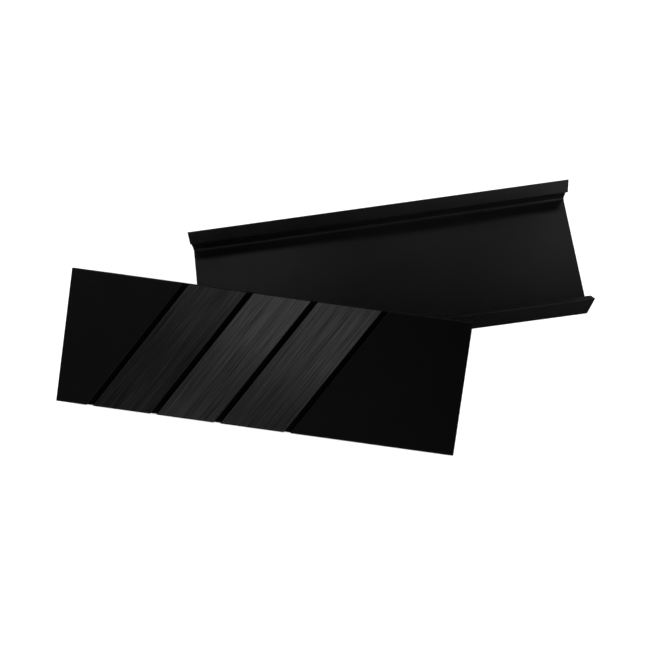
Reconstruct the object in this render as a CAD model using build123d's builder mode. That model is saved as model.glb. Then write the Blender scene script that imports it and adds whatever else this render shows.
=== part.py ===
"""Two-part clip-on heat sink for a 22 x 80 mm solid-state drive board.

An open tray takes the board, and a cover clips between the tray's two hooked rails and
presses a thermal pad onto the chips. Both are cut from drawn aluminium profiles.

The tray stands on the ground, with its length along X. The cover is off: its pad lies on
the tray's near rail and its nearest bottom corner stands on the ground.

Origin: middle of the tray's underside. +X along the tray, +Y to its far rail, +Z up. Millimetres.
"""

import os
from itertools import accumulate
from math import asin, atan2, cos, hypot, radians, sin

from build123d import *

# The drive board that slides in under the hooks.
board_width = 22.0
board_clearance = 0.1

# Tray: a flat floor between two thin rails with hooked tops.
tray_length = 72.0
floor_thickness = 1.2
wall_thickness = 1.1
rail_lean = 0.25
rail_rise = 6.45
rail_land = 0.12
lead_in_width = 1.38
lead_in_drop = 2.3
hook_lip = 0.2
hook_undercut_rise = 0.35
floor_corner_radius = 0.65
hook_root_radius = 0.2
underside_edge_radius = 0.35

# Cover: a flange that sits on the rails, and a wedge below it that ends in two beads.
cover_length = 71.0
cover_width = 23.8
flange_height = 1.2
fit_gap = 0.1
bead_reach = 0.35
bead_land = 0.12
bead_height = 0.6
top_edge_break = 0.15

# Four diagonal grooves part the cover's top into two plain fields and three brushed bands.
groove_width = 1.0
groove_depth = 1.0
groove_angle = 31.0
plain_field_length = 13.15
band_lengths = (11.4, 11.4, 12.55)

# Thermal pad, bonded into the shallow recess between the beads.
pad_width = 18.0
pad_length = 68.0
pad_thickness = 1.0
pad_recess_depth = 0.6
pad_side_gap = 0.15

# How the cover lies against the tray.
cover_turn = 15.6
cover_shift_along_rail = -24.2
cover_shift_off_rail = 2.9
rest_gap = 0.1
ground_gap = 0.05

# Places on half of the tray's section, from the middle of its underside.
inner_half = board_width / 2 + board_clearance
base_half = inner_half + wall_thickness
rail_half = base_half - rail_lean
rail_top = floor_thickness + rail_rise
land_half = rail_half - rail_land
hook_half = land_half - lead_in_width
hook_edge = rail_top - lead_in_drop
hook_bottom = hook_edge - hook_lip
hook_root = hook_bottom - hook_undercut_rise

# Places on half of the cover's section, from the middle of its top face.
flange_half = cover_width / 2
wedge_half = land_half - fit_gap
neck_half = hook_half - fit_gap
neck_top = -flange_height - lead_in_drop
bead_top = neck_top - hook_lip - fit_gap
bead_half = neck_half + bead_reach
bead_fall = bead_reach * hook_undercut_rise / (inner_half - hook_half)
cover_depth = flange_height + lead_in_drop + hook_lip + bead_height
recess_half = pad_width / 2 + pad_side_gap
pad_proud = pad_thickness - pad_recess_depth

# The cover tilts until its nearest bottom corner comes down to the ground.
turn = radians(cover_turn)
corner_reach = cover_shift_off_rail + cover_length / 2 * sin(turn) + neck_half * cos(turn)
pad_stand_off = rest_gap + pad_proud
corner_rise = asin((rail_top - ground_gap) / hypot(corner_reach, pad_stand_off))
tilt = corner_rise + atan2(pad_stand_off, corner_reach)

# Directions of the leaning cover: square to its top, up its slope, along it and across it.
cover_normal = Vector(0, -sin(tilt), cos(tilt))
up_slope = Vector(0, cos(tilt), sin(tilt))
rail_line = Vector(1, 0, 0)
cover_along = rail_line * cos(turn) - up_slope * sin(turn)
cover_across = rail_line * sin(turn) + up_slope * cos(turn)
cover_middle = (
    Vector(cover_shift_along_rail, -rail_half, rail_top)
    + cover_normal * (rest_gap + pad_proud + cover_depth)
    - up_slope * cover_shift_off_rail
)

# Planes that the leaning pieces are drawn on.
cover_top = Plane(origin=cover_middle, x_dir=cover_along, z_dir=cover_normal)
cover_end = Plane(
    origin=cover_middle - cover_along * (cover_length / 2), x_dir=cover_across, z_dir=cover_along
)
pad_seat = Plane(
    origin=cover_middle - cover_normal * (cover_depth - pad_recess_depth),
    x_dir=cover_along,
    z_dir=-cover_normal,
)


def long_edges(solid, half_width, height):
    """Edges of the tray that run along X at this height, one on each side."""
    edges = solid.edges().filter_by(Axis.X)
    reach = 0.001
    level = edges.filter_by_position(Axis.Z, height - reach, height + reach)
    near = level.filter_by_position(Axis.Y, -half_width - reach, -half_width + reach)
    far = level.filter_by_position(Axis.Y, half_width - reach, half_width + reach)
    return near + far


# Tray, drawn as half a section and mirrored.
with BuildPart() as base_tray:
    with BuildSketch(Plane.YZ.offset(-tray_length / 2)):
        with BuildLine():
            Polyline(
                (0, 0),
                (base_half, 0),
                (rail_half, rail_top),
                (land_half, rail_top),
                (hook_half, hook_edge),
                (hook_half, hook_bottom),
                (inner_half, hook_root),
                (inner_half, floor_thickness),
                (0, floor_thickness),
                close=True,
            )
        make_face()
        mirror(about=Plane.YZ)
    extrude(amount=tray_length)
    fillet(long_edges(base_tray.part, inner_half, floor_thickness), floor_corner_radius)
    fillet(long_edges(base_tray.part, inner_half, hook_root), hook_root_radius)
    fillet(long_edges(base_tray.part, base_half, 0), underside_edge_radius)

# Cover, with its wedge and beads shaped to the tray's rails.
with BuildPart() as top_cover:
    with BuildSketch(cover_end):
        with BuildLine():
            Polyline(
                (0, 0),
                (flange_half, 0),
                (flange_half, -flange_height),
                (wedge_half, -flange_height),
                (neck_half, neck_top),
                (neck_half, bead_top),
                (bead_half, bead_top - bead_fall),
                (bead_half, bead_top - bead_fall - bead_land),
                (neck_half, -cover_depth),
                (recess_half, -cover_depth),
                (recess_half, pad_recess_depth - cover_depth),
                (0, pad_recess_depth - cover_depth),
                close=True,
            )
        make_face()
        mirror(about=Plane.YZ)
    extrude(amount=cover_length)
    top_face = top_cover.faces().sort_by(Axis(cover_middle, cover_normal))[-1]
    chamfer(top_face.edges(), top_edge_break)

    # Each groove runs right across the top and out through both sides.
    groove_places = [plain_field_length - cover_length / 2 + x for x in accumulate((0, *band_lengths))]
    groove_run = 2 * cover_width / cos(radians(groove_angle))
    with BuildSketch(cover_top):
        with Locations(*[(x, 0) for x in groove_places]):
            Rectangle(groove_width, groove_run, rotation=-groove_angle)
    extrude(amount=-groove_depth, mode=Mode.SUBTRACT)

# Pad, face to face with the recess and a little proud of the beads.
with BuildPart() as thermal_pad:
    with BuildSketch(pad_seat):
        Rectangle(pad_length, pad_width)
    extrude(amount=pad_thickness)

base_tray.part.label = "base_tray"
top_cover.part.label = "top_cover"
thermal_pad.part.label = "thermal_pad"

os.makedirs("parts", exist_ok=True)
export_step(base_tray.part, "parts/base_tray.step")
export_step(top_cover.part, "parts/top_cover.step")
export_step(thermal_pad.part, "parts/thermal_pad.step")
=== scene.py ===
"""Clip-on heat sink for a drive board: surfaces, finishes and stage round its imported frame.

Lengths are in metres. The tray stands on the floor with its length along X. The cover leans on
the tray's near rail, with the thermal pad in the recess under it.
"""

import math

import bpy
import numpy as np
from bpy.props import FloatProperty, FloatVectorProperty, PointerProperty
from mathutils import Euler, Matrix, Vector


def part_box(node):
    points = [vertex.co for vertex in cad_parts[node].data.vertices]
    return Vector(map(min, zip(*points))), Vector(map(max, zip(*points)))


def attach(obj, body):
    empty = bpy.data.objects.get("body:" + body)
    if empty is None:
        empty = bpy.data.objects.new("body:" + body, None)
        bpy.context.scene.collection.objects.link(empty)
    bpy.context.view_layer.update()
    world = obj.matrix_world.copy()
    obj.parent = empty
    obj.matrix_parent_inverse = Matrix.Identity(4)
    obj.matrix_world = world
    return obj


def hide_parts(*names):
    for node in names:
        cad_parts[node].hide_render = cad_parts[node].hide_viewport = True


bl_info = {
    "name": "Drive Heat Sink",
    "version": (1, 0, 0),
    "blender": (4, 5, 0),
    "location": "View3D > Sidebar > Heat Sink",
    "description": "Builds the tray, cover and thermal pad of a clip-on heat sink, and a stage",
    "category": "Add Mesh",
}

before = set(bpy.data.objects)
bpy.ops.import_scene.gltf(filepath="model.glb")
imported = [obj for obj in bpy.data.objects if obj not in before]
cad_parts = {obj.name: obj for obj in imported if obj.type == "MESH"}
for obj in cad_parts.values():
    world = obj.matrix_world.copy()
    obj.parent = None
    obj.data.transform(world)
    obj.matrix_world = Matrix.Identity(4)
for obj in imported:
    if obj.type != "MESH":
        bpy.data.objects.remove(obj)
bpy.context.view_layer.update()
TRAY_LOW, TRAY_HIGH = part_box("base_tray")

MM = 0.001

# How finely the surfaces are divided.
ARC_STEPS = 4
FILLET_STEPS = 10
PAD_EDGE_STEPS = 6
PAD_RINGS = 60

# A ring or point this far past a rounded edge keeps the flat side beside it flat in shading.
GUARD = 0.01 * MM
# Share of an edge's radius by which the ends of a piece are drawn in.
END_DRAW = 0.9
# How far a groove's wall leans in on its way down.
GROOVE_LEAN = 0.004 * MM


# Sizes and colours that a user would change.


def length(name, description, default_mm):
    """A length property, given in millimetres and stored in metres."""
    return FloatProperty(
        name=name, description=description, default=default_mm * MM, min=0, unit="LENGTH",
        precision=5,
    )


def angle(name, description, degrees):
    """An angle property, given in degrees and stored in radians."""
    return FloatProperty(
        name=name, description=description, default=math.radians(degrees), subtype="ANGLE"
    )


def share(name, description, default):
    """A property that runs from 0 to 1."""
    return FloatProperty(
        name=name, description=description, default=default, min=0, max=1, subtype="FACTOR"
    )


def colour(name, description, default):
    """A colour property: linear, without alpha."""
    return FloatVectorProperty(
        name=name, description=description, default=default, size=3, min=0, max=1, subtype="COLOR"
    )


class TraySizes(bpy.types.PropertyGroup):
    """Section and length of the open tray."""

    length: FloatProperty(
        name="Length", description="Length of the tray along X",
        default=TRAY_HIGH.x - TRAY_LOW.x, unit="LENGTH",
    )
    rail_top: FloatProperty(
        name="Rail top", description="Height of the rails over the surface the tray stands on",
        default=TRAY_HIGH.z, unit="LENGTH",
    )
    inner_half: length("Inner half", "Half of the width of the channel for the board", 11.1)
    wall: length("Wall", "Thickness of a rail at its foot", 1.1)
    rail_lean: length("Rail lean", "How far a rail's outer face leans in at its top", 0.25)
    floor: length("Floor", "Thickness of the tray's floor", 1.2)
    land: length("Land", "Width of the flat strip on top of a rail", 0.12)
    lead_in_width: length("Lead-in width", "Width of the slanted face on top of a rail", 1.38)
    lead_in_drop: length("Lead-in drop", "Height of that slanted face", 2.3)
    hook_lip: length("Hook lip", "Height of the upright edge of the hook", 0.2)
    undercut: length("Undercut", "Height of the slope under the hook", 0.35)
    floor_corner: length("Floor corner", "Radius between floor and rail", 0.65)
    hook_root: length("Hook root", "Radius where the hook meets the wall", 0.2)
    underside_edge: length("Underside edge", "Radius of the long bottom edges", 0.35)
    edge: length("Edge", "Radius of all the other edges", 0.05)


class CoverSizes(bpy.types.PropertyGroup):
    """Section, grooves and place of the cover."""

    length: length("Length", "Length of the cover", 71.0)
    width: length("Width", "Width of the cover's top", 23.8)
    flange: length("Flange", "Height of the flange that sits on the rails", 1.2)
    wedge_half: length("Wedge half", "Half of the width right under the flange", 11.73)
    neck_half: length("Neck half", "Half of the width between the hooks", 10.35)
    lead_in_drop: length("Wedge height", "Height of the wedge under the flange", 2.3)
    neck: length("Neck height", "Height of the upright part under the wedge", 0.3)
    bead_reach: length("Bead reach", "How far a bead stands out from the neck", 0.35)
    bead_fall: length("Bead fall", "Height of a bead's upper slope", 0.1885)
    bead_land: length("Bead land", "Height of a bead's flat edge", 0.12)
    depth: length("Depth", "Height of the whole cover without its pad", 4.3)
    recess_half: length("Recess half", "Half of the width of the pad's recess", 9.15)
    recess: length("Recess depth", "Depth of the pad's recess", 0.6)
    top_edge: length("Top edge", "Radius of the edges round the top", 0.2)
    edge: length("Edge", "Radius of all the other edges", 0.05)
    groove_width: length("Groove width", "Width of a groove, square to its run", 1.0)
    groove_depth: length("Groove depth", "Depth of a groove", 1.0)
    groove_angle: angle("Groove angle", "Lean of the grooves from square across", 31.0)
    plain_field: length("Plain field", "From the left end to the first groove, mid-width", 13.15)
    bands: FloatVectorProperty(
        name="Bands", description="Lengths from groove to groove", unit="LENGTH", precision=5,
        default=(11.4 * MM, 11.4 * MM, 12.55 * MM), size=3,
    )
    # Painted light on each brushed band, scaling its colour: above 1 a painted highlight, below 1
    # a painted shade.
    band_painted_gains: FloatVectorProperty(
        name="Band tones", description="Brightness of each band against the others",
        default=(0.76, 1.4, 1.2), size=3, min=0,
    )
    turn: angle("Turn", "How far the cover is turned against the rail", 15.6)
    tilt: angle("Tilt", "Slope of the cover, from level", 21.0909)
    middle: FloatVectorProperty(
        name="Middle", description="Middle of the cover's top face", subtype="TRANSLATION",
        default=(-24.2 * MM, -16.3831 * MM, 11.0848 * MM), size=3, precision=5,
    )


class PadSizes(bpy.types.PropertyGroup):
    """Thermal pad in the cover's recess."""

    length: length("Length", "Length of the pad", 68.0)
    width: length("Width", "Width of the pad", 18.0)
    thickness: length("Thickness", "Thickness of the pad", 1.0)
    edge: length("Edge", "Radius of the pad's soft edges", 0.12)
    swell: length("Swell", "How far its free face rises and falls", 0.012)


class Finishes(bpy.types.PropertyGroup):
    """Colours and gloss of the surfaces."""

    tray: colour("Tray", "Black of the tray", (0.0045, 0.0045, 0.0046))
    tray_roughness: share("Tray roughness", "Roughness of the tray", 0.38)
    tray_gloss: share("Tray gloss", "Strength of the tray's mirroring", 0.5)
    cover: colour("Cover", "Black of the cover's plain faces", (0.0018, 0.0018, 0.0019))
    cover_roughness: share("Cover roughness", "Roughness of the cover's plain faces", 0.6)
    cover_gloss: share("Cover gloss", "Strength of the mirroring on those faces", 0.1)
    # Lighter black of rounded edges: partly rubbed wear, partly a painted edge highlight.
    worn_and_edge_highlight: colour("Worn edge", "Black where an edge is rubbed", (0.012, 0.012, 0.0125))
    brushed: colour("Brushed", "Grey of the brushed bands", (0.066, 0.066, 0.067))
    brushed_roughness: share("Brushed roughness", "Roughness of the brushed bands", 0.38)
    silicone: colour("Silicone", "Colour of the thermal pad", (0.20, 0.26, 0.32))


class Studio(bpy.types.PropertyGroup):
    """Floor and lights."""

    floor: colour("Floor", "Colour of the floor", (0.93, 0.93, 0.93))
    backdrop: FloatProperty(
        name="Backdrop", description="Brightness of the surroundings as the camera sees them",
        default=1.35, min=0,
    )
    even_light: FloatProperty(
        name="Even light", description="Strength of the even light from all sides",
        default=0.15, min=0,
    )
    mirrored_light: FloatProperty(
        name="Mirrored light", description="Brightness of the surroundings in reflections",
        default=0.01, min=0,
    )
    horizon_light: FloatProperty(
        name="Horizon light", description="Brightness in reflections of a belt along the horizon",
        default=0.15, min=0,
    )
    floor_light: FloatProperty(
        name="Floor light", description="Strength of the light that falls on the floor alone",
        default=1.3, min=0,
    )


# Shapes: outlines with soft corners, carried along a length.


def unit(vectors):
    """Vectors divided by their own length."""
    return vectors / np.linalg.norm(vectors, axis=-1, keepdims=True)


def soft_outline(corners, radii, steps=ARC_STEPS):
    """Turns the corners of a closed outline, given anticlockwise, into arcs.

    An arc of radius r touches both sides of its corner at r * tan(half the turn) from it. A point
    of it is its centre plus r times a normal that turns evenly from one side's to the other's. On
    a hollow corner the centre lies outside and the normal is taken off. A guard point on either
    side of each arc keeps the flat sides flat in shading. Returns points and outward normals.
    """
    corners = np.asarray(corners, float)
    radii = np.asarray(radii, float)
    ahead = unit(np.roll(corners, -1, axis=0) - corners)
    behind = np.roll(ahead, 1, axis=0)
    cross = behind[:, 0] * ahead[:, 1] - behind[:, 1] * ahead[:, 0]
    turn = np.arctan2(cross, (behind * ahead).sum(axis=1))
    side = np.sign(turn)[:, None]
    reach = (radii * np.tan(np.abs(turn) / 2))[:, None]
    first = np.stack([behind[:, 1], -behind[:, 0]], axis=1)
    last = np.stack([ahead[:, 1], -ahead[:, 0]], axis=1)
    start = corners - behind * reach
    centre = start - side * radii[:, None] * first
    bend = turn[:, None] * np.linspace(0, 1, steps + 1)
    normals = np.stack(
        [
            np.cos(bend) * first[:, :1] - np.sin(bend) * first[:, 1:],
            np.sin(bend) * first[:, :1] + np.cos(bend) * first[:, 1:],
        ],
        axis=2,
    )
    arcs = centre[:, None] + (side * radii[:, None])[:, None] * normals
    before = (start - behind * GUARD)[:, None]
    after = (corners + ahead * (reach + GUARD))[:, None]
    points = np.concatenate([before, arcs, after], axis=1).reshape(-1, 2)
    normals = np.concatenate([first[:, None], normals, last[:, None]], axis=1).reshape(-1, 2)
    return points, normals


def end_rounding(steps=ARC_STEPS):
    """Shares of an end radius for the rings of one rounded end, from the end inwards.

    A ring at angle a of the quarter circle lies 1 - sin(a) of the radius from the end and is
    drawn in by 1 - cos(a) of it.
    """
    a = np.linspace(math.pi / 2, 0, steps + 1)
    return 1 - np.sin(a), 1 - np.cos(a)


def end_marks(rings, end_rings):
    """For each ring, 1 on the rounded part of either end and 0 elsewhere.

    end_rings counts the rings of one end. The first and the last of them, which border on flat
    faces, stay 0.
    """
    marks = np.zeros(rings)
    marks[1:end_rings - 1] = 1
    marks[1 - end_rings:-1] = 1
    return marks


def ring_faces(rings, points):
    """Quads between neighbouring rings of a closed outline, as an array of four indices each."""
    ring, point = np.meshgrid(np.arange(rings - 1), np.arange(points), indexing="ij")
    beside = (point + 1) % points
    quads = np.stack(
        [
            ring * points + point,
            ring * points + beside,
            (ring + 1) * points + beside,
            (ring + 1) * points + point,
        ],
        axis=2,
    )
    return quads.reshape(-1, 4)


def build_mesh(name, grid, shares=None, flat_places=None):
    """A closed mesh from a grid of rings: quads between them and one flat face on either end.

    grid has the shape (rings, points, 3). shares holds one array for each attribute, by name,
    with a value for each vertex. flat_places, two values for each vertex, become the UV map
    "brushing".
    """
    rings, points = grid.shape[:2]
    vertices = grid.reshape(-1, 3)
    quads = ring_faces(rings, points)
    caps = np.stack([np.arange(points)[::-1], np.arange(points) + (rings - 1) * points])
    loops = np.concatenate([quads.ravel(), caps.ravel()])
    totals = np.concatenate([np.full(len(quads), 4), np.full(2, points)])
    mesh = bpy.data.meshes.new(name)
    mesh.vertices.add(len(vertices))
    mesh.vertices.foreach_set("co", vertices.astype(np.float32).ravel())
    mesh.loops.add(len(loops))
    mesh.loops.foreach_set("vertex_index", loops.astype(np.int32))
    mesh.polygons.add(len(totals))
    starts = np.concatenate([[0], np.cumsum(totals)[:-1]])
    mesh.polygons.foreach_set("loop_start", starts.astype(np.int32))
    smooth = np.ones(len(totals), bool)
    smooth[-2:] = False
    mesh.polygons.foreach_set("use_smooth", smooth)
    mesh.update(calc_edges=True)
    if mesh.validate():
        raise RuntimeError(f"the mesh {name} has faulty faces")
    for key, values in (shares or {}).items():
        attribute = mesh.attributes.new(key, "FLOAT", "POINT")
        attribute.data.foreach_set("value", values.astype(np.float32).ravel())
    if flat_places is not None:
        brushing = mesh.uv_layers.new(name="brushing")
        at_corners = flat_places.reshape(-1, 2)[loops]
        brushing.data.foreach_set("uv", at_corners.astype(np.float32).ravel())
    return mesh


def add_to_scene(name, data):
    """A new object in the scene."""
    new_object = bpy.data.objects.new(name, data)
    bpy.context.scene.collection.objects.link(new_object)
    return new_object


def add_piece(mesh, node_name, materials):
    """Puts a mesh into the scene as a piece that stands for a node of the frame."""
    for material in materials:
        mesh.materials.append(material)
    piece = add_to_scene(mesh.name, mesh)
    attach(piece, "root")
    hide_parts(node_name)


def mirrored(half):
    """A whole outline from its right half, listed upwards from the bottom."""
    half = np.asarray(half, float)
    return np.concatenate([half, (half * (-1, 1))[::-1]])


def tray_grid(sizes):
    """The tray: its section with soft corners, carried along X with rounded ends.

    A point of ring k and outline point i is (x of k, outline i minus its normal times the draw-in
    of k). Returns the grid and the attribute "rounding", which is 1 on rounded edges.
    """
    base = sizes.inner_half + sizes.wall
    top = sizes.rail_top
    rail = base - sizes.rail_lean
    land = rail - sizes.land
    hook = land - sizes.lead_in_width
    hook_edge = top - sizes.lead_in_drop
    hook_bottom = hook_edge - sizes.hook_lip
    root = hook_bottom - sizes.undercut
    half = [
        (base, 0), (rail, top), (land, top), (hook, hook_edge), (hook, hook_bottom),
        (sizes.inner_half, root), (sizes.inner_half, sizes.floor),
    ]
    edge = sizes.edge
    radii = np.array(
        [sizes.underside_edge, edge, edge, edge, edge, sizes.hook_root, sizes.floor_corner]
    )
    radii = np.concatenate([radii, radii[::-1]])
    points, normals = soft_outline(mirrored(half), radii, FILLET_STEPS)
    away, drawn = end_rounding()
    away = np.concatenate([away * edge, [edge + GUARD]])
    drawn = np.concatenate([drawn * edge * END_DRAW, [0]])
    x = np.concatenate([away - sizes.length / 2, (sizes.length / 2 - away)[::-1]])
    drawn = np.concatenate([drawn, drawn[::-1]])
    grid = np.empty((len(x), len(points), 3))
    grid[:, :, 0] = x[:, None]
    grid[:, :, 1:] = points - normals * drawn[:, None, None]
    rounded = np.zeros((len(half) * 2, FILLET_STEPS + 3))
    sharp = np.flatnonzero(radii < 2 * edge)
    rounded[sharp, 1:-1] = 1
    ends = end_marks(len(x), len(away))
    return grid, {"rounding": np.maximum(rounded.ravel()[None, :], ends[:, None])}


def groove_rings(sizes):
    """Rings across one groove: places square to its run, from its middle, and how deep each is.

    Both rims and both bottom corners are quarter circles. The walls lean by a few micrometres, so
    that no two rings share a place.
    """
    a = np.linspace(0, math.pi / 2, ARC_STEPS + 1)
    half = sizes.groove_width / 2
    rim = sizes.edge
    corner = 2 * sizes.edge
    foot = GROOVE_LEAN - half
    place = np.concatenate([
        [-half - rim - GUARD], -half - rim + rim * np.sin(a),
        foot + corner * (1 - np.cos(a)), [foot + corner + GUARD],
    ])
    depth = np.concatenate([
        [0], rim * (1 - np.cos(a)),
        sizes.groove_depth - corner + corner * np.sin(a), [sizes.groove_depth],
    ])
    return np.concatenate([place, -place[::-1]]), np.concatenate([depth, depth[::-1]])


def cover_frame(sizes):
    """The cover's own directions as columns: along it, across it and square to its top.

    It lies turned by one angle in a plane that slopes up towards the tray by another.
    """
    slope = np.array([0, math.cos(sizes.tilt), math.sin(sizes.tilt)])
    rail = np.array([1.0, 0, 0])
    along = rail * math.cos(sizes.turn) - slope * math.sin(sizes.turn)
    across = rail * math.sin(sizes.turn) + slope * math.cos(sizes.turn)
    return np.stack([along, across, np.cross(along, across)], axis=1)


def cover_finish_frame(sizes, turn=0.0):
    """Place and turn of the frame that the cover's finishes are read in.

    It is the cover's own frame, turned clockwise about its Z by an angle.
    """
    turned = Matrix(cover_frame(sizes).tolist()) @ Matrix.Rotation(-turn, 3, "Z")
    return tuple(sizes.middle), tuple(turned.to_euler("XYZ"))


def cover_section(sizes):
    """The cover's section with soft corners: its points, their normals and the corners' radii."""
    neck_top = -sizes.flange - sizes.lead_in_drop
    bead_top = neck_top - sizes.neck
    bead = sizes.neck_half + sizes.bead_reach
    half = [
        (sizes.recess_half, sizes.recess - sizes.depth),
        (sizes.recess_half, -sizes.depth),
        (sizes.neck_half, -sizes.depth),
        (bead, bead_top - sizes.bead_fall - sizes.bead_land),
        (bead, bead_top - sizes.bead_fall),
        (sizes.neck_half, bead_top),
        (sizes.neck_half, neck_top),
        (sizes.wedge_half, -sizes.flange),
        (sizes.width / 2, -sizes.flange),
        (sizes.width / 2, 0),
    ]
    radii = np.full(len(half), float(sizes.edge))
    radii[0] = 2 * sizes.edge
    radii[-1] = sizes.top_edge
    radii = np.concatenate([radii, radii[::-1]])
    points, normals = soft_outline(mirrored(half), radii)
    return points, normals, radii


def cover_grid(sizes):
    """The cover: its section carried along it, over four leaning grooves.

    A ring leans with the grooves, so a point at y across lies at x = place + y * lean. In a
    groove, whatever of the section is higher than the groove's depth there comes down to it.
    Returns the grid, its attributes, and which strips between rings are the brushed bands. The
    attributes are "rounding", 1 on rounded edges, a groove mask, 1 inside the grooves, that dulls
    them and darkens them as painted shade, and "tone", a painted brightness of each band that
    stands in for how the lights fall on it.
    """
    points, normals, radii = cover_section(sizes)
    away, drawn = end_rounding()
    end_rings = len(away) + 1
    away = np.concatenate([away, [1]])[:, None]
    drawn = np.concatenate([drawn, [0]])[:, None]
    end_radius = np.repeat(np.minimum(radii, sizes.top_edge) * END_DRAW, ARC_STEPS + 3)
    end_x = away * end_radius - sizes.length / 2
    end_x[-1] += GUARD
    places, depths = groove_rings(sizes)
    grooves = 1 + len(sizes.bands)
    centres = np.concatenate([[0], np.cumsum(sizes.bands)]) + sizes.plain_field - sizes.length / 2
    groove_x = (centres[:, None] + places / math.cos(sizes.groove_angle)).reshape(-1, 1)
    groove_x = groove_x + math.tan(sizes.groove_angle) * points[:, 0]
    end_draw = drawn * end_radius
    draw = np.concatenate([end_draw, np.zeros(groove_x.shape), end_draw[::-1]])
    depth = np.pad(np.tile(depths, grooves), end_rings)[:, None]

    local = np.empty((*draw.shape, 3))
    local[:, :, 0] = np.concatenate([end_x, groove_x, -end_x[::-1]])
    local[:, :, 1:] = points - normals * draw[:, :, None]
    below_rim = depth > 0.9 * sizes.edge
    # Inside the grooves: a duller roughness, and a painted shade that darkens the colour.
    milled = (local[:, :, 2] > -depth) & below_rim
    local[:, :, 2] = np.minimum(local[:, :, 2], -depth)

    rounded = np.zeros((len(radii), ARC_STEPS + 3))
    rounded[1:-1, 1:-1] = 1
    rim = end_marks(len(places), ARC_STEPS + 3)
    rims = np.pad(np.tile(rim, grooves), end_rings)[:, None] * (local[:, :, 2] > -sizes.top_edge)
    ends = end_marks(len(local), end_rings)[:, None]
    rounding = np.maximum(np.maximum(rounded.ravel(), ends), rims)

    band = np.zeros(len(local) - 1, bool)
    tone = np.ones(milled.shape)
    # Scales each band's colour by its painted brightness.
    for k, painted_gain in enumerate(sizes.band_painted_gains):
        last = end_rings + (k + 1) * len(places) - 1
        band[last] = True
        tone[last:last + 2] = painted_gain
    return local, {"rounding": rounding, "milled": milled, "tone": tone}, band


def band_slots(local, band):
    """Material slot of each of the cover's faces: 1 on the top of a brushed band, 0 elsewhere."""
    on_top = local[:-1, :, 2] > -0.5 * GUARD
    on_top &= np.roll(on_top, -1, axis=1)
    ends = [False, False]
    return np.concatenate([(band[:, None] & on_top).ravel(), ends]).astype(np.int32)


def brushing_places(local, sizes):
    """For each point of the cover, how far it lies across the streaks and along them.

    The streaks lean as the grooves do: across is x * cos - y * sin and along is x * sin + y * cos
    of the groove angle. Both are shares of the cover's length, counted from its near left corner.
    """
    cos, sin = math.cos(sizes.groove_angle), math.sin(sizes.groove_angle)
    x, y = local[:, :, 0], local[:, :, 1]
    both = np.stack([x * cos - y * sin, x * sin + y * cos], axis=2)
    return both / sizes.length + 0.5


def place_on_cover(local, sizes):
    """Points given along, across and square to the cover's top, put into the part's frame."""
    return local @ cover_frame(sizes).T + np.array(sizes.middle)


# The pad's swell: turns of its two cosines in radians to a metre, and where the second starts.
SWELL_ALONG = 210
SWELL_ACROSS = 330
SWELL_START = 0.6


def pad_grid(pad, cover):
    """The pad: a slab with soft edges under the recess, whose free face swells a little.

    The swell is a product of slow cosines along and across, worth nothing at the bonded face.
    """
    roof = cover.recess - cover.depth
    half = [(pad.width / 2, roof - pad.thickness), (pad.width / 2, roof)]
    radii = np.full(2 * len(half), float(pad.edge))
    points, normals = soft_outline(mirrored(half), radii, PAD_EDGE_STEPS)
    away, drawn = end_rounding(PAD_EDGE_STEPS)
    end_x = away * pad.edge - pad.length / 2
    reach = pad.length / 2 - 2 * pad.edge
    x = np.concatenate([end_x, np.linspace(-reach, reach, PAD_RINGS), -end_x[::-1]])
    draw = np.concatenate([drawn, np.zeros(PAD_RINGS), drawn[::-1]]) * pad.edge * END_DRAW
    local = np.empty((len(x), len(points), 3))
    local[:, :, 0] = x[:, None]
    local[:, :, 1:] = points - normals * draw[:, None, None]
    free = (roof - local[:, :, 2]) / pad.thickness
    along = np.cos(local[:, :, 0] * SWELL_ALONG)
    across = np.cos(local[:, :, 1] * SWELL_ACROSS + SWELL_START)
    local[:, :, 2] += pad.swell * (0.5 + 0.5 * along * across) * free
    return local


# Finishes.

# Anodised faces: sizes of the grain, of a drawn line and of the clouds, and in the darkest and the
# brightest clouds, the share of the colour and what is added to the roughness.
ANODISED_GRAIN = 0.09 * MM
DRAWN_LINE = (40 * MM, 0.16 * MM, 0.16 * MM)
ANODISED_CLOUD = 7 * MM
ANODISED_TONES = (0.88, 1.15)
ANODISED_ROUGHNESS = (-0.02, 0.025)

# Lighter edges, part wear and part painted highlight: size of a patch, and the least lightening.
WEAR_PATCH = 1.4 * MM
LEAST_RUB_AND_HIGHLIGHT = 0.55

# Milled grooves: share of the colour kept, a painted shade in them, and how much rougher they are.
GROOVE_PAINTED_SHADE = 0.2
MILLED_ROUGHER = 0.35

# Brushed bands: width and run of a streak, detail, and share of the whole, for each layer. Then
# the colour's shares in the darkest and the brightest streaks, and how far the roughness varies.
STREAKS = (
    (0.13 * MM, 9 * MM, 1, 0.5),
    (0.3 * MM, 30 * MM, 2, 0.38),
    (2 * MM, 90 * MM, 1, 0.12),
)
STREAK_TONES = (0.28, 1.72)
STREAK_ROUGHNESS = 0.06

# Silicone: size of its clouds, the colour's shares in the darkest and the brightest of them, size
# and share of its specks, and how close the threads of its weave lie.
SILICONE_CLOUD = 3 * MM
SILICONE_TONES = (0.85, 1.12)
SILICONE_SPECK = 0.12 * MM
SPECK_TONE = 0.5
SILICONE_WEAVE = 0.62

# Sockets of a node that mixes colours.
MIX_FACTOR, MIX_FIRST, MIX_SECOND, MIX_RESULT = 0, 6, 7, 2


def fill_input(tree, socket, value):
    """Links another node's output to an input, or sets a value on it."""
    if isinstance(value, bpy.types.NodeSocket):
        tree.links.new(value, socket)
    else:
        socket.default_value = value


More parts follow.
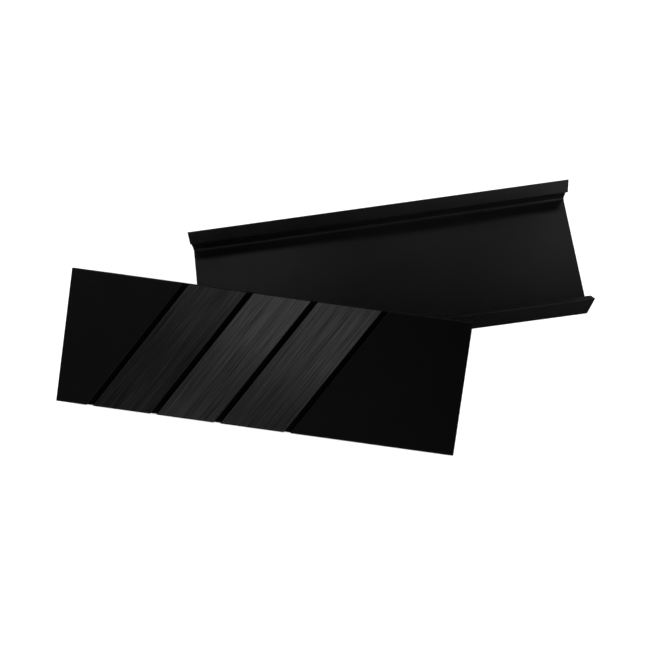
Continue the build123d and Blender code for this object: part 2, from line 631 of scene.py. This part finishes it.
def add_node(tree, kind, inputs=None, **settings):
    """Adds a node, sets its settings, and fills its inputs with values or links."""
    node = tree.nodes.new(kind)
    for key, value in settings.items():
        setattr(node, key, value)
    for key, value in (inputs or {}).items():
        fill_input(tree, node.inputs[key], value)
    return node


def calculate(tree, operation, *values, clamp=False):
    """The result of a Math node on values or outputs."""
    node = add_node(
        tree, "ShaderNodeMath", dict(enumerate(values)), operation=operation, use_clamp=clamp
    )
    return node.outputs[0]


def read_attribute(tree, name):
    """A vertex attribute, as a number."""
    return add_node(tree, "ShaderNodeAttribute", attribute_name=name).outputs["Fac"]


def add_bump(tree, height, strength, distance, normal=None):
    """Normals bumped by a height, on top of other bumped normals if they are given."""
    inputs = {"Height": height, "Strength": strength, "Distance": distance}
    if normal is not None:
        inputs["Normal"] = normal
    return add_node(tree, "ShaderNodeBump", inputs).outputs["Normal"]


def start_material(name):
    """A new material, its node tree and its shader."""
    material = bpy.data.materials.new(name)
    material.use_nodes = True
    return material, material.node_tree, material.node_tree.nodes["Principled BSDF"]


def finish_position(tree, location, rotation, size):
    """Object coordinates read in a turned frame, in units of the three sizes."""
    where = add_node(tree, "ShaderNodeTexCoord").outputs["Object"]
    mapping = add_node(
        tree, "ShaderNodeMapping",
        {"Vector": where, "Location": location, "Rotation": rotation, "Scale": size},
        vector_type="TEXTURE",
    )
    return mapping.outputs["Vector"]


def grain(tree, location, rotation, size, detail):
    """Noise in a turned frame. Its features have one size, or three, one along each axis."""
    sizes = size if isinstance(size, tuple) else (size,) * 3
    noise = add_node(
        tree, "ShaderNodeTexNoise",
        {"Vector": finish_position(tree, location, rotation, sizes), "Scale": 1.0,
         "Detail": detail, "Roughness": 0.6},
    )
    return noise.outputs["Fac"]


def spread(tree, value, low, high, from_low=0.3, from_high=0.7):
    """A value mapped from one range to another, and kept within it."""
    node = add_node(
        tree, "ShaderNodeMapRange",
        {"Value": value, "From Min": from_low, "From Max": from_high, "To Min": low,
         "To Max": high},
    )
    return node.outputs["Result"]


def blend_colours(tree, factor, first, second):
    """Two colours mixed by a factor."""
    node = add_node(tree, "ShaderNodeMix", data_type="RGBA")
    for key, value in ((MIX_FACTOR, factor), (MIX_FIRST, first), (MIX_SECOND, second)):
        fill_input(tree, node.inputs[key], value)
    return node.outputs[MIX_RESULT]


def opaque(values, gain=1.0):
    """A colour with alpha, brightened or darkened by a factor."""
    return (*(min(1.0, v * gain) for v in values), 1.0)


def anodised_black(name, black, roughness, gloss, worn_and_edge_highlight, location=(0, 0, 0), rotation=(0, 0, 0)):
    """Dyed anodised aluminium: a fine even grain, cloudy gloss, faint lines and lighter edges.

    In the grooves, marked by an attribute, the metal is duller and darkened as painted shade.
    The lines run along the X of the frame that location and rotation give.
    """
    material, tree, shader = start_material(name)
    fine = grain(tree, location, rotation, ANODISED_GRAIN, detail=3)
    cloud = grain(tree, location, rotation, ANODISED_CLOUD, detail=2)
    lines = grain(tree, location, rotation, DRAWN_LINE, detail=2)
    wear = grain(tree, location, rotation, WEAR_PATCH, detail=2)
    milled = read_attribute(tree, "milled")
    dark, bright = (opaque(black, gain) for gain in ANODISED_TONES)
    tone = blend_colours(tree, spread(tree, cloud, 0, 1), dark, bright)
    # Darkens the grooves' colour: painted shade for the darkness that falls in them.
    tone = blend_colours(tree, milled, tone, opaque(black, GROOVE_PAINTED_SHADE))
    # Rounded edges are lightened: partly rubbed wear, partly a painted edge highlight.
    rub_and_highlight = calculate(
        tree, "MULTIPLY", read_attribute(tree, "rounding"), spread(tree, wear, LEAST_RUB_AND_HIGHLIGHT, 1)
    )
    tree.links.new(blend_colours(tree, rub_and_highlight, tone, opaque(worn_and_edge_highlight)), shader.inputs["Base Color"])
    clouded = spread(tree, cloud, *(roughness + change for change in ANODISED_ROUGHNESS))
    dulled = calculate(tree, "MULTIPLY_ADD", milled, MILLED_ROUGHER, clouded)
    tree.links.new(dulled, shader.inputs["Roughness"])
    grainy = add_bump(tree, fine, strength=0.25, distance=0.004 * MM)
    drawn = add_bump(tree, lines, strength=0.2, distance=0.004 * MM, normal=grainy)
    tree.links.new(drawn, shader.inputs["Normal"])
    shader.inputs["Specular IOR Level"].default_value = gloss
    return material


def brushed_black(name, grey, roughness, location, rotation):
    """Black metal brushed along Y of a frame: layers of long streaks in tone, gloss and height.

    The attribute "tone" scales a whole band's colour: a painted highlight above 1, a painted shade
    below.
    """
    material, tree, shader = start_material(name)
    joined = 0.0
    for width, run, detail, weight in STREAKS:
        layer = grain(tree, location, rotation, (width, run, 1.0), detail)
        joined = calculate(tree, "ADD", joined, spread(tree, layer, 0, weight), clamp=True)
    dark, bright = (opaque(grey, gain) for gain in STREAK_TONES)
    streaked = blend_colours(tree, joined, dark, bright)
    # Painted highlight and shade: the band's colour scaled by its painted brightness.
    painted_band_colour = add_node(
        tree, "ShaderNodeVectorMath", {0: streaked, "Scale": read_attribute(tree, "tone")},
        operation="SCALE",
    )
    tree.links.new(painted_band_colour.outputs["Vector"], shader.inputs["Base Color"])
    polish = spread(
        tree, joined, roughness + STREAK_ROUGHNESS, roughness - STREAK_ROUGHNESS,
        from_low=0.2, from_high=0.8,
    )
    tree.links.new(polish, shader.inputs["Roughness"])
    ridges = add_bump(tree, joined, strength=0.35, distance=0.006 * MM)
    tree.links.new(ridges, shader.inputs["Normal"])
    shader.inputs["Metallic"].default_value = 1.0
    shader.inputs["Anisotropic"].default_value = 0.8
    tangent = add_node(tree, "ShaderNodeTangent", direction_type="UV_MAP", uv_map="brushing")
    tree.links.new(tangent.outputs["Tangent"], shader.inputs["Tangent"])
    return material


def silicone(name, blue, location, rotation):
    """Filled silicone: cloudy colour, a fine weave pressed into it, and dark filler specks."""
    material, tree, shader = start_material(name)
    cloud = grain(tree, location, rotation, SILICONE_CLOUD, detail=4)
    speck = grain(tree, location, rotation, SILICONE_SPECK, detail=2)
    dark, bright = (opaque(blue, gain) for gain in SILICONE_TONES)
    tone = blend_colours(tree, spread(tree, cloud, 0, 1), dark, bright)
    specks = spread(tree, speck, 0, 0.5, from_low=0.6, from_high=0.75)
    tone = blend_colours(tree, specks, tone, opaque(blue, SPECK_TONE))
    tree.links.new(tone, shader.inputs["Base Color"])
    where = finish_position(tree, location, rotation, (MM,) * 3)
    weave = [
        add_node(
            tree, "ShaderNodeTexWave",
            {"Vector": where, "Scale": SILICONE_WEAVE, "Distortion": 0.6, "Detail": 1.0},
            wave_type="BANDS", bands_direction=axis,
        ).outputs["Fac"]
        for axis in ("X", "Y")
    ]
    cloth = calculate(tree, "MAXIMUM", *weave)
    pressed = add_bump(tree, cloth, strength=0.3, distance=0.01 * MM)
    tree.links.new(pressed, shader.inputs["Normal"])
    shader.inputs["Roughness"].default_value = 0.55
    shader.inputs["Subsurface Weight"].default_value = 0.05
    return material


# Operators, one for each piece and one for the stage.


class MESH_OT_drive_tray(bpy.types.Operator):
    """Add the tray of the heat sink"""

    bl_idname = "mesh.drive_tray"
    bl_label = "Tray"

    def execute(self, context):
        settings = context.scene.heat_sink
        grid, shares = tray_grid(settings.tray)
        finish = settings.finish
        black = anodised_black(
            "tray_black", finish.tray, finish.tray_roughness, finish.tray_gloss, finish.worn_and_edge_highlight
        )
        add_piece(build_mesh("tray_profile", grid, shares), "base_tray", [black])
        return {"FINISHED"}


class MESH_OT_drive_cover(bpy.types.Operator):
    """Add the grooved cover of the heat sink"""

    bl_idname = "mesh.drive_cover"
    bl_label = "Cover"

    def execute(self, context):
        settings = context.scene.heat_sink
        cover = settings.cover
        finish = settings.finish
        local, shares, band = cover_grid(cover)
        mesh = build_mesh(
            "cover_profile", place_on_cover(local, cover), shares, brushing_places(local, cover)
        )
        matt = anodised_black(
            "cover_black", finish.cover, finish.cover_roughness, finish.cover_gloss, finish.worn_and_edge_highlight,
            *cover_finish_frame(cover),
        )
        brushed = brushed_black(
            "cover_brushed", finish.brushed, finish.brushed_roughness,
            *cover_finish_frame(cover, cover.groove_angle),
        )
        mesh.polygons.foreach_set("material_index", band_slots(local, band))
        add_piece(mesh, "top_cover", [matt, brushed])
        return {"FINISHED"}


class MESH_OT_drive_pad(bpy.types.Operator):
    """Add the thermal pad under the cover"""

    bl_idname = "mesh.drive_pad"
    bl_label = "Thermal pad"

    def execute(self, context):
        settings = context.scene.heat_sink
        cover = settings.cover
        mesh = build_mesh("thermal_pad_slab", place_on_cover(pad_grid(settings.pad, cover), cover))
        soft = silicone("pad_silicone", settings.finish.silicone, *cover_finish_frame(cover))
        add_piece(mesh, "thermal_pad", [soft])
        return {"FINISHED"}


# Camera, as fitted to the photograph: place, turn in degrees, lens, and shift of the frame.
CAMERA_PLACE = (-10.969 * MM, -66.399 * MM, 177.28 * MM)
CAMERA_TURN = (17.3228, 3.7496, -6.9103)
CAMERA_LENS = 54.7011
CAMERA_SHIFT = 0.02308

# Half of the floor's side, and its level: a little under the part, to share no plane with it.
FLOOR_HALF = 1.5
FLOOR_LEVEL = -0.02 * MM

# How soft the light on the floor is, and how far it leans towards the viewer, in degrees.
FLOOR_LIGHT_SPREAD = 20
FLOOR_LIGHT_LEAN = 15

# How steep a direction is where the mirrored belt along the horizon starts to fade, and ends.
BELT_FADE = (0.3, 0.85)

# Square light panels. Each lights only the pieces that it names, and its last two numbers are its
# side and its radiance.
TRAY = ("tray_profile",)
COVER = ("cover_profile", "thermal_pad_slab")

# Panels that face the origin: turn from +X and rise from the ground in degrees, then distance.
AIMED_PANELS = (
    ("tray_left", TRAY, 210.8, 24.8, 0.264, 0.090, 18.9),
    ("tray_left_high", TRAY, 211.1, 40.7, 0.264, 0.090, 7.4),
    ("tray_front", TRAY, 300.0, 12.3, 0.131, 0.045, 1.1),
    ("cover_left", COVER, 239.1, 8.7, 0.264, 0.090, 10.1),
    ("cover_left_near", COVER, 240.1, 37.0, 0.133, 0.045, 0.4),
    ("behind_left", TRAY + COVER, 132.0, 9.5, 0.273, 0.120, 2.0),
    ("behind_right", TRAY + COVER, 48.0, 9.5, 0.273, 0.120, 2.0),
    ("high_left", TRAY, 128.3, 36.6, 0.302, 0.120, 0.4),
    ("high_right", TRAY, 51.7, 36.6, 0.302, 0.120, 0.4),
)

# Panels that face down from one height: place along X and Y.
LEVEL_HEIGHT = 0.090
LEVEL_PANELS = (
    ("tray_back_left", TRAY, -0.040, 0.045, 0.020, 1.35),
    ("tray_back", TRAY, -0.020, 0.045, 0.020, 0.7),
    ("tray_back_middle", TRAY, 0.020, 0.060, 0.020, 1.3),
    ("tray_back_right", TRAY, 0.060, 0.045, 0.020, 1.8),
    ("cover_left_back", COVER, -0.060, 0.030, 0.020, 22.0),
    ("cover_left_over", COVER, -0.060, -0.060, 0.020, 0.44),
    ("cover_over", COVER, -0.040, -0.040, 0.028, 0.75),
    ("cover_right", COVER, 0.000, -0.060, 0.028, 1.0),
)


def light_only(light_object, piece_names):
    """Lets a light fall on the named objects alone."""
    lit = bpy.data.collections.new(light_object.name + "_lights")
    for piece_name in piece_names:
        lit.objects.link(bpy.data.objects[piece_name])
    light_object.light_linking.receiver_collection = lit


def around_origin(turn, rise, distance):
    """A place given by its turn, rise and distance.

    It is the distance times (cos rise * cos turn, cos rise * sin turn, sin rise).
    """
    turn, rise = math.radians(turn), math.radians(rise)
    level = math.cos(rise)
    return distance * Vector((level * math.cos(turn), level * math.sin(turn), math.sin(rise)))


def add_panel(name, piece_names, place, facing, side, radiance):
    """A soft square panel that faces a direction and lights the named pieces only.

    Its power is radiance times pi times its area.
    """
    light = bpy.data.lights.new(name, "AREA")
    light.shape = "SQUARE"
    light.size = side
    light.energy = radiance * math.pi * side ** 2
    panel = add_to_scene(name, light)
    panel.location = place
    panel.rotation_euler = Vector(facing).to_track_quat("-Z", "Y").to_euler()
    panel.visible_camera = False
    light_only(panel, piece_names)


def add_floor(studio):
    """A plain pale floor, and the light that falls on it alone."""
    half, level = FLOOR_HALF, FLOOR_LEVEL
    mesh = bpy.data.meshes.new("floor")
    mesh.from_pydata(
        [(-half, -half, level), (half, -half, level), (half, half, level), (-half, half, level)],
        [], [(0, 1, 2, 3)],
    )
    material, _, shader = start_material("floor_pale")
    shader.inputs["Base Color"].default_value = opaque(studio.floor)
    shader.inputs["Roughness"].default_value = 1.0
    shader.inputs["Specular IOR Level"].default_value = 0.0
    mesh.materials.append(material)
    floor = add_to_scene("floor", mesh)
    floor.visible_glossy = False

    light = bpy.data.lights.new("floor_light", "SUN")
    light.energy = studio.floor_light * math.pi
    light.angle = math.radians(FLOOR_LIGHT_SPREAD)
    lamp = add_to_scene("floor_light", light)
    lamp.rotation_euler = (math.radians(FLOOR_LIGHT_LEAN), 0, 0)
    light_only(lamp, ("floor",))


def studio_world(studio):
    """Surroundings of three strengths: for the camera, for reflections and for all other light.

    In reflections they are dark but for a soft belt along the horizon, which shows up the sides.
    """
    world = bpy.data.worlds.new("studio")
    world.use_nodes = True
    tree = world.node_tree
    path = add_node(tree, "ShaderNodeLightPath")
    even = tree.nodes["Background"]
    even.inputs["Color"].default_value = (1, 1, 1, 1)
    even.inputs["Strength"].default_value = studio.even_light
    direction = add_node(tree, "ShaderNodeTexCoord").outputs["Generated"]
    height = add_node(tree, "ShaderNodeSeparateXYZ", {"Vector": direction}).outputs["Z"]
    steepness = calculate(tree, "ABSOLUTE", height)
    belt = spread(tree, steepness, studio.horizon_light, studio.mirrored_light, *BELT_FADE)
    result = even.outputs[0]
    for ray, strength in (("Is Glossy Ray", belt), ("Is Camera Ray", studio.backdrop)):
        other = add_node(
            tree, "ShaderNodeBackground", {"Color": (1, 1, 1, 1), "Strength": strength}
        )
        mix = add_node(
            tree, "ShaderNodeMixShader", {0: path.outputs[ray], 1: result, 2: other.outputs[0]}
        )
        result = mix.outputs[0]
    tree.links.new(result, tree.nodes["World Output"].inputs["Surface"])
    return world


def add_camera():
    """The camera at the photograph's viewing angle."""
    camera = bpy.data.cameras.new("camera")
    camera.sensor_fit = "HORIZONTAL"
    camera.sensor_width = 36
    camera.lens = CAMERA_LENS
    camera.shift_x = CAMERA_SHIFT
    camera.shift_y = CAMERA_SHIFT
    camera.clip_start = 0.001
    camera.clip_end = 20
    eye = add_to_scene("camera", camera)
    eye.location = CAMERA_PLACE
    eye.rotation_euler = Euler([math.radians(v) for v in CAMERA_TURN], "XYZ")
    return eye


class SCENE_OT_heat_sink_stage(bpy.types.Operator):
    """Add the floor, the lights and the camera"""

    bl_idname = "scene.heat_sink_stage"
    bl_label = "Stage"

    def execute(self, context):
        scene = context.scene
        studio = scene.heat_sink.studio
        add_floor(studio)
        scene.world = studio_world(studio)
        for name, pieces, turn, rise, distance, side, radiance in AIMED_PANELS:
            place = around_origin(turn, rise, distance)
            add_panel(name, pieces, place, -place, side, radiance)
        for name, pieces, x, y, side, radiance in LEVEL_PANELS:
            add_panel(name, pieces, (x, y, LEVEL_HEIGHT), (0, 0, -1), side, radiance)
        scene.camera = add_camera()
        scene.view_settings.view_transform = "Standard"
        return {"FINISHED"}


class HeatSinkSettings(bpy.types.PropertyGroup):
    """Everything that the sidebar shows."""

    tray: PointerProperty(type=TraySizes, name="Tray", description="Sizes of the tray")
    cover: PointerProperty(type=CoverSizes, name="Cover", description="Sizes of the cover")
    pad: PointerProperty(type=PadSizes, name="Pad", description="Sizes of the thermal pad")
    finish: PointerProperty(type=Finishes, name="Finishes", description="Colours and gloss")
    studio: PointerProperty(type=Studio, name="Studio", description="Floor and lights")


class VIEW3D_PT_heat_sink(bpy.types.Panel):
    """Sizes, colours and buttons of the heat sink."""

    bl_label = "Heat Sink"
    bl_idname = "VIEW3D_PT_heat_sink"
    bl_space_type = "VIEW_3D"
    bl_region_type = "UI"
    bl_category = "Heat Sink"

    def draw(self, context):
        settings = context.scene.heat_sink
        for group_name in ("tray", "cover", "pad", "finish", "studio"):
            group = getattr(settings, group_name)
            box = self.layout.box()
            box.label(text=group_name.capitalize())
            for key in group.__annotations__:
                box.prop(group, key)
        for operator in OPERATORS:
            self.layout.operator(operator.bl_idname)


OPERATORS = (
    MESH_OT_drive_tray, MESH_OT_drive_cover, MESH_OT_drive_pad, SCENE_OT_heat_sink_stage,
)
CLASSES = (
    TraySizes, CoverSizes, PadSizes, Finishes, Studio, HeatSinkSettings, *OPERATORS,
    VIEW3D_PT_heat_sink,
)


def register():
    """Makes the settings, operators and panel known."""
    for item in CLASSES:
        bpy.utils.register_class(item)
    bpy.types.Scene.heat_sink = PointerProperty(type=HeatSinkSettings)


def unregister():
    """Takes them away again."""
    del bpy.types.Scene.heat_sink
    for item in reversed(CLASSES):
        bpy.utils.unregister_class(item)


def main():
    """Builds every piece and the stage."""
    register()
    bpy.ops.mesh.drive_tray()
    bpy.ops.mesh.drive_cover()
    bpy.ops.mesh.drive_pad()
    bpy.ops.scene.heat_sink_stage()


if __name__ == "__main__":
    main()
